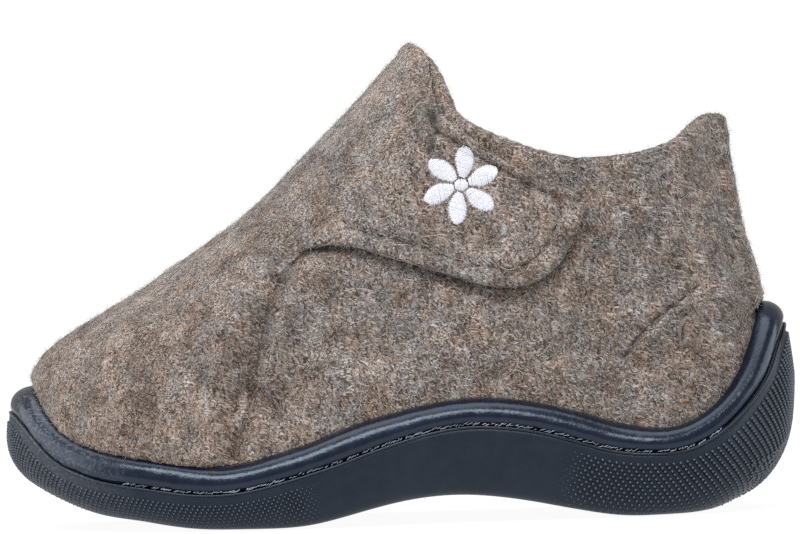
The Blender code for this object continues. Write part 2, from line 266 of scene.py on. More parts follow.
class Wire:  # a socket in a material: + - * on it add Math nodes
    def __init__(self, tree, socket=None):
        self.tree, self.socket = tree, socket

    def node(self, kind, settings=None, values=None, out=0):
        made = self.tree.nodes.new("ShaderNode" + kind)
        for name, value in (settings or {}).items():
            setattr(made, name, value)
        for name, value in (values or {}).items():
            if isinstance(value, Wire):
                self.tree.links.new(value.socket, made.inputs[name])
            else:
                made.inputs[name].default_value = value
        return Wire(self.tree, made.outputs[out])

    def maths(self, operation, first, second):
        return self.node("Math", {"operation": operation}, {0: first, 1: second})

    def __add__(self, other):
        return self.maths("ADD", self, other)

    def __sub__(self, other):
        return self.maths("SUBTRACT", self, other)

    def __rsub__(self, other):
        return self.maths("SUBTRACT", other, self)

    def __mul__(self, other):
        return self.maths("MULTIPLY", self, other)

    __radd__, __rmul__ = __add__, __mul__

    def between(self, low, high):  # 0 below low, 1 above high
        return self.node("MapRange", {"clamp": True}, {"Value": self, "From Min": low, "From Max": high})

    def mixed(self, share, first, second, way="MIX"):
        settings = {"data_type": "RGBA", "blend_type": way}
        return self.node("Mix", settings, {0: share, 6: first, 7: second}, out=2)

    def blend(self, first, second):  # two colours mixed by this value
        return self.mixed(self, first, second)

    def tinted(self, other):  # this colour times another
        return self.mixed(1.0, self, other, "MULTIPLY")

    def bump(self, strength, depth):  # a surface whose height is this value
        return self.node("Bump", None, {"Strength": strength, "Distance": depth * mm, "Height": self})

    def grain(self, coords, size, detail=2.0, rough=0.55, out=0):  # noise whose features are size mm across
        values = {"Vector": coords, "Scale": 1 / (size * mm), "Detail": detail, "Roughness": rough}
        return self.node("TexNoise", None, values, out)

    def streaks(self, coords, turn, length, width):  # noise drawn out to strands that run one way
        values = {"Vector": coords, "Rotation": turn, "Scale": (length * mm, width * mm, width * mm)}
        mapped = self.node("Mapping", {"vector_type": "TEXTURE"}, values)
        return self.node("TexNoise", None, {"Vector": mapped, "Scale": 1.0, "Detail": 0.0})

    def drifting(self, coords, size, reach):  # coordinates pushed about, so that strands curve
        push = self.grain(coords, size, detail=1.0, rough=0.5, out="Color")
        push = self.node("VectorMath", {"operation": "SUBTRACT"}, {0: push, 1: (0.5, 0.5, 0.5)})
        push = self.node("VectorMath", {"operation": "SCALE"}, {0: push, "Scale": reach * mm})
        return self.node("VectorMath", {"operation": "ADD"}, {0: coords, 1: push})


evenSockets = {"sheen": "Sheen Weight", "sheenRoughness": "Sheen Roughness", "matt": "Roughness",
               "specular": "Specular IOR Level", "gleam": "Specular Tint", "coatRoughness": "Coat Roughness",
               "glow": "Emission Strength", "glowColour": "Emission Color"}


def newMaterial(name, look):  # what is even all over is set straight on the shader's sockets
    material = bpy.data.materials.new(name)
    material.use_nodes = True
    shader = material.node_tree.nodes["Principled BSDF"]
    for key, socket in evenSockets.items():
        if key in look:
            shader.inputs[socket].default_value = look[key]
    return material, shader, Wire(material.node_tree)


def feed(shader, socket, wire):
    wire.tree.links.new(wire.socket, shader.inputs[socket])


feltShades = ("warmth", "lightness", "creviceShade")  # what each point of the felt says about its colour: its warmth, its lightness, which holds some painted light, and the painted shade of its creases
felt = {  # a noise has its size, detail and roughness
    "sheen": 0.35, "sheenRoughness": 0.35, "specular": 0.1, "roughness": (0.82, 0.16),
    "drift": (2.6, 1.6), "patchNoise": (2.4, 2.0, 0.6), "patchEdge": (0.36, 0.64),
    "speckleNoise": (0.55, 2.0, 0.7), "pitEdge": (0.3, 0.43), "pitShadeCover": 0.7, "paintedShadeCover": 0.9,
    "wispEdge": 0.07, "wispCover": 0.8, "wispLean": 0.9,
    "wispTurns": (2.4, 2.39996, 1.7), "speckleHigh": 0.4, "wispHigh": 0.15, "bump": 0.65, "bumpDepth": 0.25,
    # deep is the colour of painted shade in the pits between fibres; fold is the colour of painted shade in
    # creases, seams and under edges
    "dark": tone(90, 81, 75), "mid": tone(128, 118, 111), "deep": tone(44, 39, 36), "fold": tone(26, 21, 19),
    "lightTint": [(0.62, 0.62, 0.62, 1), (1.4, 1.4, 1.4, 1)],
    "warmTint": [(0.98, 1.0, 1.02, 1), (1.11, 0.98, 0.89, 1)],
    "wisps": [  # colour, how much ground is left bare, length and width
        (tone(60, 52, 48), 0.58, 4.4, 0.66), (tone(118, 103, 93), 0.56, 4.4, 0.60),
        (tone(146, 142, 140), 0.56, 4.4, 0.66), (tone(74, 65, 60), 0.58, 3.6, 0.40),
        (tone(164, 159, 155), 0.59, 4.0, 0.50), (tone(118, 115, 115), 0.57, 3.2, 0.34),
        (tone(140, 121, 107), 0.61, 3.4, 0.40), (tone(50, 44, 41), 0.61, 3.2, 0.28),
        (tone(178, 174, 171), 0.62, 3.6, 0.26)],
}
insoleLook = {**felt, "dark": tone(84, 72, 62), "mid": tone(108, 96, 86)}


def feltMaterial(name, look):
    material, shader, wire = newMaterial(name, look)
    coords = wire.node("TexCoord", out="Object")
    painted = [wire.node("Attribute", {"attribute_name": shade}, out="Fac") for shade in feltShades]
    warmth, lightness, creviceShade = painted
    drift = wire.drifting(coords, *look["drift"])
    speckle = wire.grain(coords, *look["speckleNoise"])
    patch = wire.grain(drift, *look["patchNoise"]).between(*look["patchEdge"])
    colour = patch.blend(look["dark"], look["mid"])
    height = speckle * look["speckleHigh"]
    for k, (wisp, bare, length, width) in enumerate(look["wisps"]):  # strands of other shades, tangled
        x, y, z = (rate * k for rate in look["wispTurns"])
        turn = (look["wispLean"] * math.sin(x), y, look["wispLean"] * math.cos(z))
        strand = wire.streaks(drift, turn, length, width).between(bare, bare + look["wispEdge"])
        colour = (strand * look["wispCover"]).blend(colour, wisp)
        height = height + strand * look["wispHigh"]
    # dark pits between the fibres: painted shade
    pitShade = 1 - speckle.between(*look["pitEdge"])
    colour = (pitShade * look["pitShadeCover"]).blend(colour, look["deep"])
    colour = colour.tinted(lightness.blend(*look["lightTint"])).tinted(warmth.blend(*look["warmTint"]))
    least, more = look["roughness"]
    # felt in creases, seams and under the strap's edge is darkened towards the fold colour: painted shade
    feed(shader, "Base Color", (creviceShade * look["paintedShadeCover"]).blend(colour, look["fold"]))
    feed(shader, "Roughness", least + speckle * more)
    feed(shader, "Normal", height.bump(look["bump"], look["bumpDepth"]))
    return material


rubber = {"gleam": (0.66, 0.8, 1.0, 1),  # a bluish shine
          "cloudNoise": (9, 3.0, 0.6), "cloudEdge": (0.3, 0.7), "cloudShare": 0.7,
          "smearNoise": (2.6, 3.0, 0.6), "smearEdge": (0.35, 0.7), "gritNoise": (0.35, 3.0, 0.65),
          "toe": (-72, -52), "scratch": (12.0, 0.4), "scratchTurn": 0.4, "scratchEdge": (0.58, 0.64),
          # the toe turns pale grey: partly real scuffs and scratches, partly painted reflection
          "scuffedAndReflection": 0.3, "dustAndReflection": tone(128, 130, 136), "smearRough": 0.08, "gritRough": 0.06,
          "scuffRough": 0.15, "coatLeast": 0.75, "bump": 0.6, "bumpDepth": 0.2}
soleLook = {**rubber, "deep": tone(18, 24, 33), "worn": tone(27, 33, 43), "roughness": 0.42, "coat": 0.15,
            "coatRoughness": 0.22, "specular": 0.3, "grit": 0.2, "waves": 0.2, "scuffAndReflection": 0.22}
weltLook = {**rubber, "deep": tone(6, 12, 27), "worn": tone(15, 22, 39), "roughness": 0.16, "coat": 0.12,
            "coatRoughness": 0.13, "specular": 0.5, "grit": 0.02, "waves": 0.35, "scuffAndReflection": 0.28}
knurlLook = {**soleLook, "roughness": 0.3, "coat": 0.5, "specular": 0.9}
flashLook = {**soleLook, "deep": tone(46, 50, 58), "worn": tone(168, 172, 180), "roughness": 0.4,
             "specular": 0.6}


def rubberMaterial(name, look):
    material, shader, wire = newMaterial(name, look)
    coords = wire.node("TexCoord", out="Object")
    cloud = wire.grain(coords, *look["cloudNoise"]).between(*look["cloudEdge"])
    grit = wire.grain(coords, *look["gritNoise"])
    smear = wire.grain(coords, *look["smearNoise"]).between(*look["smearEdge"])
    tip, ball = look["toe"]
    toe = 1 - wire.node("SeparateXYZ", None, {"Vector": coords}, out="X").between(tip * mm, ball * mm)
    scratches = wire.streaks(coords, (0, look["scratchTurn"], 0), *look["scratch"])
    # the toe is lightened towards the pale grey: real scuffs and scratches, and painted reflection
    scuffAndReflection = toe * (look["scuffedAndReflection"] + scratches.between(*look["scratchEdge"]))
    wear = cloud * look["cloudShare"] + smear * (1 - look["cloudShare"])
    colour = wear.blend(look["deep"], look["worn"])
    rough = smear * look["smearRough"] + grit * look["gritRough"] + scuffAndReflection * look["scuffRough"]
    feed(shader, "Base Color", (scuffAndReflection * look["scuffAndReflection"]).blend(colour, look["dustAndReflection"]))
    feed(shader, "Roughness", look["roughness"] + rough)
    feed(shader, "Coat Weight", look["coat"] * (look["coatLeast"] + smear * (1 - look["coatLeast"])))
    height = grit * look["grit"] + smear * look["waves"]
    feed(shader, "Normal", height.bump(look["bump"], look["bumpDepth"]))
    return material


woolLook = {"sheen": 0.15, "sheenRoughness": 0.5, "specular": 0.25, "roughness": (0.7, 0.2),
            "noise": (1.3, 2.0, 0.7), "noiseEdge": (0.35, 0.65)}
threadLook = {"sheen": 0.2, "sheenRoughness": 0.4, "specular": 0.4, "roughness": (0.45, 0.2),
              "noise": (0.25, 2.0, 0.6), "noiseEdge": (0.35, 0.65)}


def strandMaterial(name, look, colour, other):
    material, shader, wire = newMaterial(name, look)
    coords = wire.node("TexCoord", out="Object")
    shift = wire.grain(coords, *look["noise"]).between(*look["noiseEdge"])
    least, more = look["roughness"]
    feed(shader, "Base Color", shift.blend(colour, other))
    feed(shader, "Roughness", least + shift * more)
    return material


# Lines drawn on the felt in the side view, as (x, z): innerSeam on the inner side, the rest on the outer

drawn = {
    "stitchTop": [(7.6, 81.4), (8.7, 78.1), (11.8, 75.9), (17.6, 71.9), (25.1, 67.5), (32.7, 63.3)],
    "stitchLow": [(32.9, 62.6), (32.9, 60.4), (31.4, 56.4), (28.4, 52.2), (25.0, 50.1), (17.2, 50.5),
                  (4.0, 55.0), (-9.0, 59.2)],
    "strapCut": [(-22.3, 53.3), (-19.0, 55.9), (-10.5, 56.4), (3.3, 52.0), (17.0, 47.3), (26.0, 46.9)],
    "strapEdge": [(-20.4, 52.4), (-16.5, 54.2), (-10.8, 55.2), (-4.0, 53.6), (4.5, 50.8), (17.0, 46.7),
                  (25.5, 46.4), (31.2, 49.4), (34.8, 54.4), (37.4, 60.8), (37.2, 63.1), (32.6, 65.6),
                  (21.5, 71.8), (12.4, 78.0), (9.6, 81.6), (8.6, 86.0), (7.2, 93.4)],
    "vampSeam": [(-20.8, 51.9), (-22.0, 50.0), (-24.9, 44.5), (-27.1, 36.0), (-29.6, 27.4), (-31.9, 19.0),
                 (-33.2, 10.0)],
    "innerSeam": [(8.4, 88.0), (8.2, 86.0), (6.0, 76.0), (-4.0, 64.0), (-16.0, 52.0), (-24.0, 38.0),
                  (-29.0, 25.0), (-31.0, 10.0)],
    "dart": [(61.4, 45.6), (59.8, 44.9), (56.6, 42.4), (53.5, 40.5), (49.2, 36.7), (46.4, 33.6),
             (44.5, 31.3)],
    "strapLift": [(-15.0, 55.8), (-10.5, 56.2), (3.3, 52.1), (17.0, 47.7), (24.0, 47.2)],
    "tabCrease": [(8.2, 81.5), (8.6, 78.5), (8.0, 75.0), (7.6, 73.4)],
    "tabEdge": [(9.6, 81.6), (8.6, 86.0), (7.2, 93.4)],
    "toeFold": [(-39.2, 33.5), (-40.4, 28.0), (-41.4, 23.9), (-41.3, 17.0)],
}
lines = {name: curveThrough(points) for name, points in drawn.items()}


def gapTo(name, flat):  # how far points of the side view lie from a drawn line
    return distanceTo(lines[name], flat)[0]


# Felt pieces: the CAD walls, made dense, softened and then shaped


def soften(mesh, rounds, strokes=(0.5, -0.52)):  # evens out the remesh's steps without thinning the wall
    edges = np.empty(len(mesh.edges) * 2, np.int32)
    mesh.edges.foreach_get("vertices", edges)
    edges = edges.reshape(-1, 2)
    here, there = np.concatenate([edges, edges[:, ::-1]]).T
    places = placesOf(mesh)
    count = np.bincount(here, minlength=len(places))[:, None]
    for stroke in strokes * rounds:
        total = [np.bincount(here, places[there, k], len(places)) for k in range(3)]
        places = places + stroke * (np.stack(total, axis=1) / count - places)
    moveTo(mesh, places)


def denseCopy(node, name, spec):
    piece = copyOf(node, name)
    applyModifier(piece, addModifier(piece, "REMESH", mode="VOXEL", voxel_size=spec["voxel"] * mm))
    soften(piece.data, spec["softenings"])
    return piece, placesOf(piece.data), normalsOf(piece.data)


footLine = {"half": 45, "height": 30.0, "facing": (0.05, 0.45)}  # the middle of the foot, along it


def outerFace(places, normals):  # 1 on felt that faces away from the foot, 0 on the lining side
    centre = np.zeros(places.shape)
    centre[:, 0] = np.clip(places[:, 0], -footLine["half"], footLine["half"])
    centre[:, 2] = footLine["height"]
    return ease((unit(places - centre) * normals).sum(axis=1), *footLine["facing"])


def fold(gap, trough=(0, 1), swell=(0, 0, 1), dark=(0, 1)):  # a line's soft fold: its rise and its painted shade
    depth, width = trough
    high, beside, spread = swell
    shade, shadeWidth = dark
    return high * ridge(gap - beside, spread) - depth * ridge(gap, width), shade * ridge(gap, shadeWidth)


def pressOn(places, base, share, least=0.005):  # lays felt on what is below it: 1 flat, under 0 lifted
    for i in np.flatnonzero(np.abs(share) > least):
        places[i] += (np.array(base.find_nearest(places[i])[0]) - places[i]) * share[i]


weltSeat = {"below": 48, "tight": 0.2, "reach": 1.7, "pull": 0.85}


def seatOnWelt(places):  # draws felt that is near to the welt down on to it
    for i in np.flatnonzero(places[:, 2] < weltSeat["below"]):
        spot, _, _, gap = weltTree.find_nearest(places[i], weltSeat["reach"])
        if spot is not None:
            share = weltSeat["pull"] * (1 - ease(gap, weltSeat["tight"], weltSeat["reach"]))
            places[i] += (np.array(spot) - places[i]) * share


strapSlip = {"x": [-27, -22, -16, -11, -4, 4.5, 17, 25, 31], "along": [0, 1.9, 1.0, 0.3, 0, 0, 0, 0, 0],
             "down": [0, 0.9, 1.0, 1.2, 0.8, 0.8, 0.6, 0.4, 0], "reach": 4.0}


def slipStrap(places):  # lets the strap's lower edge sag on the outer side
    share = ridge(gapTo("strapCut", places[:, [0, 2]]), strapSlip["reach"]) * (places[:, 1] < 0)
    x = places[:, 0].copy()
    places[:, 0] += share * np.interp(x, strapSlip["x"], strapSlip["along"])
    places[:, 2] -= share * np.interp(x, strapSlip["x"], strapSlip["down"])


top = {"middle": 4.7, "tabHigh": (93.4, 95.4), "tabHalf": (0.2, 2.2), "forward": 0.7, "back": 0.9,
       "collar": 0.7, "collarX": ((6, 9), (16, 24)), "collarHigh": ((78, 82), (90, 93)),
       "dip": 0.7, "dipX": ((14, 28), (34, 48)), "dipHigh": (62, 71),
       "round": 1.1, "roundX": (65.9, 68.4), "roundHigh": (77.3, 80),
       "heel": 0.5, "heelX": (56, 66), "heelHigh": (66, 74)}


def shapeTop(places):  # squares the tab, dips the collar, draws in its front and rounds the heel's top
    x, z = places[:, 0].copy(), places[:, 2].copy()
    out = x - top["middle"]
    square = ease(z, *top["tabHigh"]) * ease(np.abs(out), *top["tabHalf"])
    collar = within(x, *top["collarX"]) * within(z, *top["collarHigh"])
    heel = ease(x, *top["heelX"]) * ease(z, *top["heelHigh"])
    places[:, 0] += square * np.where(out < 0, -top["forward"], top["back"])
    places[:, 0] -= top["collar"] * collar + top["heel"] * heel
    places[:, 2] -= top["round"] * ease(x, *top["roundX"]) * ease(z, *top["roundHigh"])
    places[:, 2] -= top["dip"] * within(x, *top["dipX"]) * ease(z, *top["dipHigh"])


wool = {"warm": 0.42, "light": 0.5, "toe": (15, 45), "toeWarm": 0.55, "toeLight": 0.1,
        # the felt over the strap is made lighter: painted light
        "strapX": ((-10, 5), (34, 40)), "strapHigh": (47, 53), "strapPaintedLight": 0.1,
        "warmest": 1.3, "lightest": 1.1,  # the last patches are tufts, the lightest of them cool
        "warmPatches": [(0.45, 7.0, 31), (0.6, 3.0, 32), (-0.35, 1.8, 35)],
        "lightPatches": [(0.28, 8.0, 33), (0.4, 3.6, 34), (0.36, 1.8, 35)]}


def heather(places):  # the wool's cloudy mix: warmth and lightness, from 0 to about 1, warmer and lighter towards the toe; the lighter felt over the strap is painted light
    toe = ease(-places[:, 0], *wool["toe"])
    strap = within(places[:, 0], *wool["strapX"]) * ease(places[:, 2], *wool["strapHigh"])
    warm = wool["warm"] + wool["toeWarm"] * toe + patches(places, wool["warmPatches"])
    light = wool["light"] + wool["toeLight"] * toe + wool["strapPaintedLight"] * strap
    light += patches(places, wool["lightPatches"])
    return np.clip(warm, 0, wool["warmest"]), np.clip(light, 0, wool["lightest"])


def finishFelt(piece, places, normals, spec, creviceShade=0):
    moveTo(piece.data, places + normals * patches(places, spec["wave"])[:, None])
    creviceShade = np.clip(np.broadcast_to(creviceShade, len(places)), 0, 1)
    for name, values in zip(feltShades, (*heather(places), creviceShade)):
        shade = piece.data.attributes.new(name, "FLOAT", "POINT")
        shade.data.foreach_set("value", values.astype(np.float32))
    piece.data.shade_smooth()
    return piece


upperSpec = {
    "voxel": 0.95, "softenings": 14, "wave": [(0.28, 13, 1), (0.16, 5.5, 2), (0.07, 2.0, 3)],
    # each dark pair gives the painted shade along a line: its strength and width
    "vampSeam": {"swell": (1.0, 3.2, 3.0), "dark": (0.65, 1.6)},
    "seamHigh": [12, 25, 35, 47, 53], "seamX": [-32, -30, -27, -25, -23], "seamSoft": (-2, 2),
    "dart": {"trough": (0.7, 0.65), "swell": (0.15, 2.4, 1.6), "dark": (1.1, 0.45)},
    "dartBreaks": (1.5, 41), "dartBreakEdge": (-0.7, 0.3),
    "strapEdge": {"trough": (0.35, 1.2), "dark": (0.95, 0.55)}, "strapLow": 56.6, "strapHighShare": 0.35,
}


def makeUpperFelt():
    piece, places, normals = denseCopy("upper", "upperFelt", upperSpec)
    shapeTop(places)
    onOuter = outerFace(places, normals) * (places[:, 1] < 0)
    flat = places[:, [0, 2]]
    push, creviceShade = fold(gapTo("vampSeam", flat), **upperSpec["vampSeam"])
    seamX = np.interp(flat[:, 1], upperSpec["seamHigh"], upperSpec["seamX"])
    push *= ease(flat[:, 0] - seamX, *upperSpec["seamSoft"])  # the felt swells behind the seam only
    # the dart's trough gets painted shade, broken in places
    rise, dark = fold(gapTo("dart", flat), **upperSpec["dart"])
    push += rise
    creviceShade += dark * ease(lumps(places, *upperSpec["dartBreaks"]), *upperSpec["dartBreakEdge"])
    # under the strap's edge the felt gets a trough and a painted shadow, weaker where the edge runs high
    gap, near = distanceTo(lines["strapEdge"], flat)
    rise, dark = fold(gap, **upperSpec["strapEdge"])
    below = np.where(lines["strapEdge"][near, 1] < upperSpec["strapLow"], 1.0, upperSpec["strapHighShare"])
    push += rise * below
    creviceShade += dark * below
    places += normals * (push * onOuter)[:, None]
    return finishFelt(piece, places, normals, upperSpec, creviceShade * onOuter)


vampSpec = {
    "voxel": 0.68, "softenings": 16, "wave": [(0.30, 13, 4), (0.18, 5.5, 5), (0.07, 2.0, 6)],
    # each dark pair gives the painted shade along a line: its strength and width
    "furrows": {"stitchTop": {"trough": (1.0, 0.7), "swell": (0.3, 2.0, 1.3), "dark": (0.8, 0.5)},
                "stitchLow": {"trough": (0.6, 0.7), "swell": (0.3, 2.0, 1.3), "dark": (0.3, 0.5)}},
    "breaks": (2.0, 42), "breakEdge": (-0.8, 0.6),
    "folds": {"tabCrease": {"trough": (0.9, 0.8), "dark": (0.7, 0.6)},
              "toeFold": {"trough": (0.5, 1.7), "swell": (0.25, 4.0, 2.2), "dark": (0.22, 1.3)}},
    "seamPress": 1.15, "seamReach": (0.3, 7.0), "seamCurve": 1.3, "seamPaintedShade": (0.55, 1.8),
    "tabPress": 0.7, "tabReach": (0.3, 4.0), "edgeLift": 0.12, "liftWidth": 3.5, "liftPress": 0.3,
}


def makeVampFelt():
    piece, places, normals = denseCopy("vamp_strap", "vampFelt", vampSpec)
    shapeTop(places)
    slipStrap(places)
    onOuter = outerFace(places, normals)
    near = places[:, 1] < 0
    flat = places[:, [0, 2]]
    push, creviceShade, press = np.zeros((3, len(places)))
    breaks = ease(lumps(places, *vampSpec["breaks"]), *vampSpec["breakEdge"])
    # furrows and folds darken the felt as painted shade
    for kind, worn in (("furrows", breaks), ("folds", 1)):
        for name, shape in vampSpec[kind].items():
            rise, dark = fold(gapTo(name, flat), **shape)
            push += rise * near
            creviceShade += dark * worn * near
    places += normals * (push * onOuter)[:, None]
    # by the seams the felt is pressed down and given painted shade
    for seam, here in (("vampSeam", near), ("innerSeam", ~near)):
        gap = gapTo(seam, flat)
        beside = (1 - ease(gap, *vampSpec["seamReach"])) ** vampSpec["seamCurve"]
        press += vampSpec["seamPress"] * beside * here
        creviceShade += fold(gap, dark=vampSpec["seamPaintedShade"])[1] * here
    press += vampSpec["tabPress"] * (1 - ease(gapTo("tabEdge", flat), *vampSpec["tabReach"])) * near
    lift = vampSpec["edgeLift"] * ridge(gapTo("strapLift", flat), vampSpec["liftWidth"])
    press -= lift * near * (press < vampSpec["liftPress"])
    pressOn(places, surfaceOf(upperFelt), press)
    seatOnWelt(places)
    return finishFelt(piece, places, normals, vampSpec, creviceShade * onOuter)


stripSpec = {"voxel": 0.5, "softenings": 14, "wave": [(0.55, 7.5, 7), (0.2, 3.5, 8), (0.07, 1.6, 9)],
             "edgePress": 1.25, "edgeReach": 6.5, "levels": (38, 80, 3.0), "levelHalf": 2.5}


def makeStripFelt():
    piece, places, normals = denseCopy("heel_strip", "stripFelt", stripSpec)
    shapeTop(places)
    across, high = np.abs(places[:, 1]), places[:, 2]
    levels = np.arange(*stripSpec["levels"])
    widths = [across[np.abs(high - level) < stripSpec["levelHalf"]].max() for level in levels]
    edge = 1 - ease(np.interp(high, levels, widths) - across, 0, stripSpec["edgeReach"])
    pressOn(places, surfaceOf(upperFelt), stripSpec["edgePress"] * edge)
    seatOnWelt(places)
    return finishFelt(piece, places, normals, stripSpec)


insoleSpec = {"voxel": 1.3, "softenings": 8, "wave": [(0.12, 9, 10), (0.06, 2.4, 11)]}


def makeInsoleFelt():
    piece, places, normals = denseCopy("insole", "insoleFelt", insoleSpec)
    return finishFelt(piece, places, normals, insoleSpec)


# Rubber sole and welt: smooth surfaces through the CAD points

cage = {"levels": 2, "sharp": 50, "reach": 0.25, "rounds": 3, "gain": 0.8, "flat": 60, "square": 70}
soleSpec = {"crease": 0.7,
            "toeFuller": 0.7, "toeX": ((50, 62), (74, 80)), "toeHigh": (8, 18),
            "heelSlimmer": 1.3, "slimX": (60, 72), "slimHigh": (8, 24),
            "heelSquarer": 0.6, "squareX": (64, 75), "squareHigh": ((20, 28), (38, 45))}
weltSpec = {"crease": 0.55, "tuck": 0.75, "tuckWidth": 1.0, "toeX": (52, 68), "toeLess": 0.75,
            "heelSlimmer": 0.1, "slimX": (46, 64)}


def smoothRubber(node, name, spec):
    piece = copyOf(node, name)
    flat, square = math.radians(cage["flat"]), math.radians(cage["square"])
    editAll(piece, bpy.ops.mesh.tris_convert_to_quads, face_threshold=flat, shape_threshold=square)
    work = bmesh.new()
    work.from_mesh(piece.data)
    crease = work.edges.layers.float.new("crease_edge")
    for edge in work.edges:
        if edge.calc_face_angle(0) > math.radians(cage["sharp"]):
            edge[crease] = spec["crease"]
    work.to_mesh(piece.data)
    work.free()
    wanted = placesOf(piece.data)
    rounder = addModifier(piece, "SUBSURF", levels=cage["levels"], render_levels=cage["levels"])
    for _ in range(cage["rounds"]):  # move the cage until the smooth surface passes through the CAD points
        graph = bpy.context.evaluated_depsgraph_get()
        smooth = piece.evaluated_get(graph).to_mesh()
        reached = placesOf(smooth)[: len(wanted)]
        shift = placesOf(piece.data) + (wanted - reached) * cage["gain"] - wanted
        size = np.linalg.norm(shift, axis=1, keepdims=True)
        moveTo(piece.data, wanted + shift * np.minimum(1, cage["reach"] / np.maximum(size, 1e-6)))
    applyModifier(piece, rounder)
    piece.data.shade_smooth()
    return piece


def rimLine():  # the sole's outer rim, all round: the CAD node's longest sharp edge
    guide = copyOf("outsole", "rimGuide")
    work = bmesh.new()
    work.from_mesh(guide.data)
    sharp = {e.index: e for e in work.edges if e.calc_face_angle(0) > math.radians(cage["sharp"])}
    best = np.zeros((1, 3))
    while sharp:
        loop = list(sharp.pop(min(sharp)).verts)
        onward = [e.index for e in loop[-1].link_edges if e.index in sharp]
        while onward:
            loop.append(sharp.pop(onward[0]).other_vert(loop[-1]))
            onward = [e.index for e in loop[-1].link_edges if e.index in sharp]
        points = np.array([v.co for v in loop]) / mm
        if np.ptp(points[:, 0]) > np.ptp(best[:, 0]):
            best = points
    work.free()
    bpy.data.objects.remove(guide)
    return best[:-1] if np.allclose(best[0], best[-1]) else best


def settleSole(places):  # a fuller toe, a slimmer heel corner and a squarer heel rim
    x, z = places[:, 0].copy(), places[:, 2].copy()
    toe = within(-x, *soleSpec["toeX"]) * (1 - ease(z, *soleSpec["toeHigh"]))
    slim = ease(x, *soleSpec["slimX"]) * (1 - ease(z, *soleSpec["slimHigh"]))
    square = ease(x, *soleSpec["squareX"]) * within(z, *soleSpec["squareHigh"])
    places[:, 2] -= soleSpec["toeFuller"] * toe
    places[:, 0] += soleSpec["heelSquarer"] * square - soleSpec["heelSlimmer"] * slim


def tuckWelt():  # draws in the welt's foot, which leaves a dark gap over the rim, and slims it at the heel
    places = placesOf(weltRubber.data)
    gap, near = distanceTo(rimCurve, places)
    toe = ease(-places[:, 0], *weltSpec["toeX"])
    tuck = weltSpec["tuck"] * ridge(gap, weltSpec["tuckWidth"]) * (1 - weltSpec["toeLess"] * toe)
    places -= wayOut(rimCurve)[near] * tuck[:, None]
    slim = weltSpec["heelSlimmer"] * ease(places[:, 0], *weltSpec["slimX"])
    moveTo(weltRubber.data, places + (rimCurve[near] - places) * slim[:, None])


outsoleRubber = smoothRubber("outsole", "outsoleRubber", soleSpec)
weltRubber = smoothRubber("welt", "weltRubber", weltSpec)
rim = rimLine()
settleSole(rim)
rimCurve = curveThrough(rim, step=0.5, closed=True)
for moulded in (outsoleRubber, weltRubber):
    settled = placesOf(moulded.data)
    settleSole(settled)
    moveTo(moulded.data, settled)
tuckWelt()
weltTree = surfaceOf(weltRubber)
print("rubber", len(outsoleRubber.data.polygons), len(weltRubber.data.polygons), "rim points", len(rim))

upperFelt = makeUpperFelt()
vampFelt = makeVampFelt()
stripFelt = makeStripFelt()
insoleFelt = makeInsoleFelt()
feltPieces = (upperFelt, vampFelt, stripFelt, insoleFelt)
print("felt pieces", [len(p.data.polygons) for p in feltPieces])


# Knurled dots on the sole's sides, at toe and heel

knurl = {"firstRow": 2.3, "rows": 44, "fade": 8.0, "half": 0.6, "top": 0.22, "high": 0.5, "sunk": 0.15,
         "least": 0.15, "lowest": 0.5, "castFrom": 12, "castReach": 40, "underside": -0.93, "shrink": 0.7}
knurlZones = ({"sign": 1, "start": 31.0, "pitch": 1.42, "row": 0.72, "size": 1.0},
              {"sign": -1, "start": 14.0, "pitch": 1.1, "row": 0.6, "size": 0.74})


def stamps(places, normals, size):  # small flat-topped pyramids that stand on a surface
    along = unit(np.cross(normals, upward))
    up = np.cross(normals, along)
    corners = []
    for half, high in ((knurl["half"], -knurl["sunk"]), (knurl["top"], knurl["high"])):
        for a, b in ((1, 0), (0, 1), (-1, 0), (0, -1)):
            step = along * a * half + up * b * half
            corners.append(places + step * size[:, None] + normals * (high * size)[:, None])
    made = np.stack(corners, axis=1)
    faces = [(0, 2, 1), (0, 3, 2), (4, 5, 6), (4, 6, 7)]
    for i in range(4):
        j = (i + 1) % 4
        faces += [(i, j, 4 + j), (i, 4 + j, 4 + i)]
    return made.reshape(-1, 3), repeated(faces, len(made), len(corners))


def makeKnurl():
    surface = surfaceOf(outsoleRubber)
    out = wayOut(rimCurve)
    down = np.cross(alongOf(rimCurve), out)
    down *= -np.sign(down[:, 2:])
    count = len(rimCurve)
    found = []
    for zone in knurlZones:
        ahead = rimCurve[:, 0] * zone["sign"]
        first = np.where(rimCurve[:, 1] > 0, np.inf, np.abs(ahead - zone["start"])).argmin()
        turn = 1 if ahead[(first + 1) % count] > ahead[first] else -1
        order = (first + np.arange(count) * turn) % count  # from the outer side, round the end
        for row in range(knurl["rows"]):  # rows run level with the crack
            lower = (rimCurve + down * (knurl["firstRow"] + row * zone["row"]))[order]
            reach = reachOf(lower)
            at = np.arange(row % 2 * zone["pitch"] / 2, reach[-1], zone["pitch"])
            spots, ways = sampled(at, reach, lower), sampled(at, reach, out[order])
            into = ease(np.interp(at, reach, ahead[order]), zone["start"], zone["start"] + knurl["fade"])
            for spot, way, share in zip(spots, ways, into):
                if share < knurl["least"] or spot[2] < knurl["lowest"]:
                    continue
                way = Vector(way).normalized()
                start = Vector(spot) + way * knurl["castFrom"]
                place, normal, _, _ = surface.ray_cast(start, -way, knurl["castReach"])
                if place is not None and normal.z > knurl["underside"]:
                    size = share * zone["size"] * (1 - knurl["shrink"] * max(0, -normal.z))
                    found.append((*place, *normal, size))
    places, normals, size = np.split(np.array(found), (3, 6), axis=1)
    return meshFromArrays("soleKnurl", *stamps(places, normals, size[:, 0]))


# The crack between welt and sole: a raised lip on the rim, and rough flash where the rubber was trimmed

